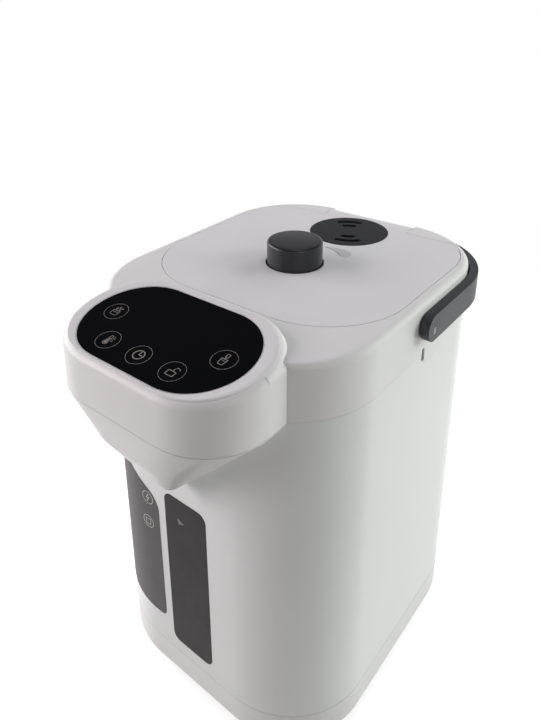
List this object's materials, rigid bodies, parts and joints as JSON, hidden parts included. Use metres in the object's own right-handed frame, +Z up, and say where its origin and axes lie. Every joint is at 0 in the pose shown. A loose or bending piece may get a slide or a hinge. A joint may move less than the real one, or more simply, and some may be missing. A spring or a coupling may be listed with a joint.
{
  "type": "electric thermo pot",
  "caption": "Insulated electric hot water dispenser with a tilted touch control head over its spout, a hinged lid with a pump knob, a folding handle and a swivel base.",
  "frame": {"origin": "centre of the body's plan outline on the floor, at the underside of the swivel base", "axes": "+Z up, -Y towards the spout and control head, +X to the right of someone facing the front of the pot"},
  "size_m": [0.229, 0.316, 0.348],
  "materials": {
    "white_plastic": "warm white moulded plastic, satin gloss",
    "lid_plastic": "pale grey-white moulded plastic, satin",
    "jacket_paint": "pale painted steel sheet, gloss",
    "dark_plastic": "charcoal moulded plastic, satin",
    "smoked_window": "smoked dark clear plastic",
    "black_glass": "black printed glass panel",
    "circuit_board": "green circuit board with dark components",
    "pale_rubber": "translucent pale silicone",
    "dark_rubber": "black non-slip rubber",
    "clear_tube": "clear tube",
    "pot_steel": "brushed stainless steel",
    "steel": "plated steel",
    "brass_pins": "plated brass",
    "mica_band": "mica heater band in a metal sleeve",
    "insulation": "glass wool insulation sleeve"
  },
  "bodies": {
    "stand": {"swivel_base": "dark_plastic", "grip_ring": "dark_rubber", "swivel_retainer": "steel"},
    "body": {"base_plate": "dark_plastic", "base_skirt": "white_plastic", "base_screws": "steel", "outer_jacket": "jacket_paint", "level_window": "smoked_window", "collar": "white_plastic", "mouth_ring": "white_plastic", "clamp_ring": "steel", "tie_rods": "steel", "head_cover": "white_plastic", "control_glass": "black_glass", "control_board": "circuit_board", "touch_pads": "pale_rubber", "spout_cover": "white_plastic", "spout_nozzle": "white_plastic", "outlet_pipe": "pale_rubber", "level_tube": "clear_tube", "riser_hose": "pale_rubber", "inner_pot": "pot_steel", "pot_gasket": "pale_rubber", "outlet_strainer": "pot_steel", "heater_band": "mica_band", "insulation_sleeve": "insulation", "thermostats": "dark_plastic", "thermal_fuse": "pale_rubber", "temperature_sensor": "steel", "suction_sleeve": "pale_rubber", "pump_housing": "dark_plastic", "pump_cover": "dark_plastic", "pump_motor": "steel", "power_board": "circuit_board", "power_inlet": "dark_plastic", "inlet_pins": "brass_pins", "pivot_pins": "dark_plastic"},
    "lid": {"lid_cover": "lid_plastic", "lid_base": "white_plastic", "inner_lid": "pot_steel", "lid_gasket": "pale_rubber", "lid_screws": "steel", "vent_disc": "dark_plastic", "steam_duct": "white_plastic", "hinge_pin": "steel", "bellows": "pale_rubber", "bellows_spring": "steel", "air_valve": "pale_rubber"},
    "lock": {"lock_ring": "dark_plastic"},
    "knob": {"pump_knob": "dark_plastic", "bellows_cap": "white_plastic"},
    "bolt": {"latch_bolt": "steel"},
    "carry_handle": {"handle": "dark_plastic"},
    "magnet": {"drive_magnet": "steel"},
    "pump_wheel": {"impeller": "white_plastic"}
  },
  "joints": [
    {"name": "base_swivel", "type": "hinge", "parent": "stand", "child": "body", "pos_m": [0, 0, 0], "axis": [0, 0, 1], "continuous": true},
    {"name": "lid_hinge", "type": "hinge", "parent": "body", "child": "lid", "pos_m": [0, 0.119, 0.32], "axis": [-1, 0, 0], "range_deg": [0, 85]},
    {"name": "lock_turn", "type": "hinge", "parent": "lid", "child": "lock", "pos_m": [0, 0.0028, 0.32], "axis": [0, 0, 1], "range_deg": [0, 50]},
    {"name": "knob_press", "type": "slide", "parent": "lock", "child": "knob", "axis": [0, 0, -1], "range_m": [0, 0.012], "stiffness_N_per_m": 120, "springref_m": -0.02, "deforming": ["bellows", "bellows_spring"]},
    {"name": "bolt_slide", "type": "slide", "parent": "lid", "child": "bolt", "axis": [0, -1, 0], "range_m": [0, 0.0061]},
    {"name": "handle_fold", "type": "hinge", "parent": "body", "child": "carry_handle", "pos_m": [0, 0.002, 0.3128], "axis": [1, 0, 0], "range_deg": [0, 90]},
    {"name": "motor_spin", "type": "hinge", "parent": "body", "child": "magnet", "pos_m": [-0.014, -0.038, 0.04], "axis": [0, 0, 1], "continuous": true},
    {"name": "impeller_spin", "type": "hinge", "parent": "body", "child": "pump_wheel", "pos_m": [-0.014, -0.038, 0.05], "axis": [0, 0, 1], "continuous": true}
  ],
  "couplings": [
    {"joint": "bolt_slide", "follows": "lock_turn", "m_per_rad": 0.0068755},
    {"joint": "impeller_spin", "follows": "motor_spin", "ratio": 1}
  ]
}
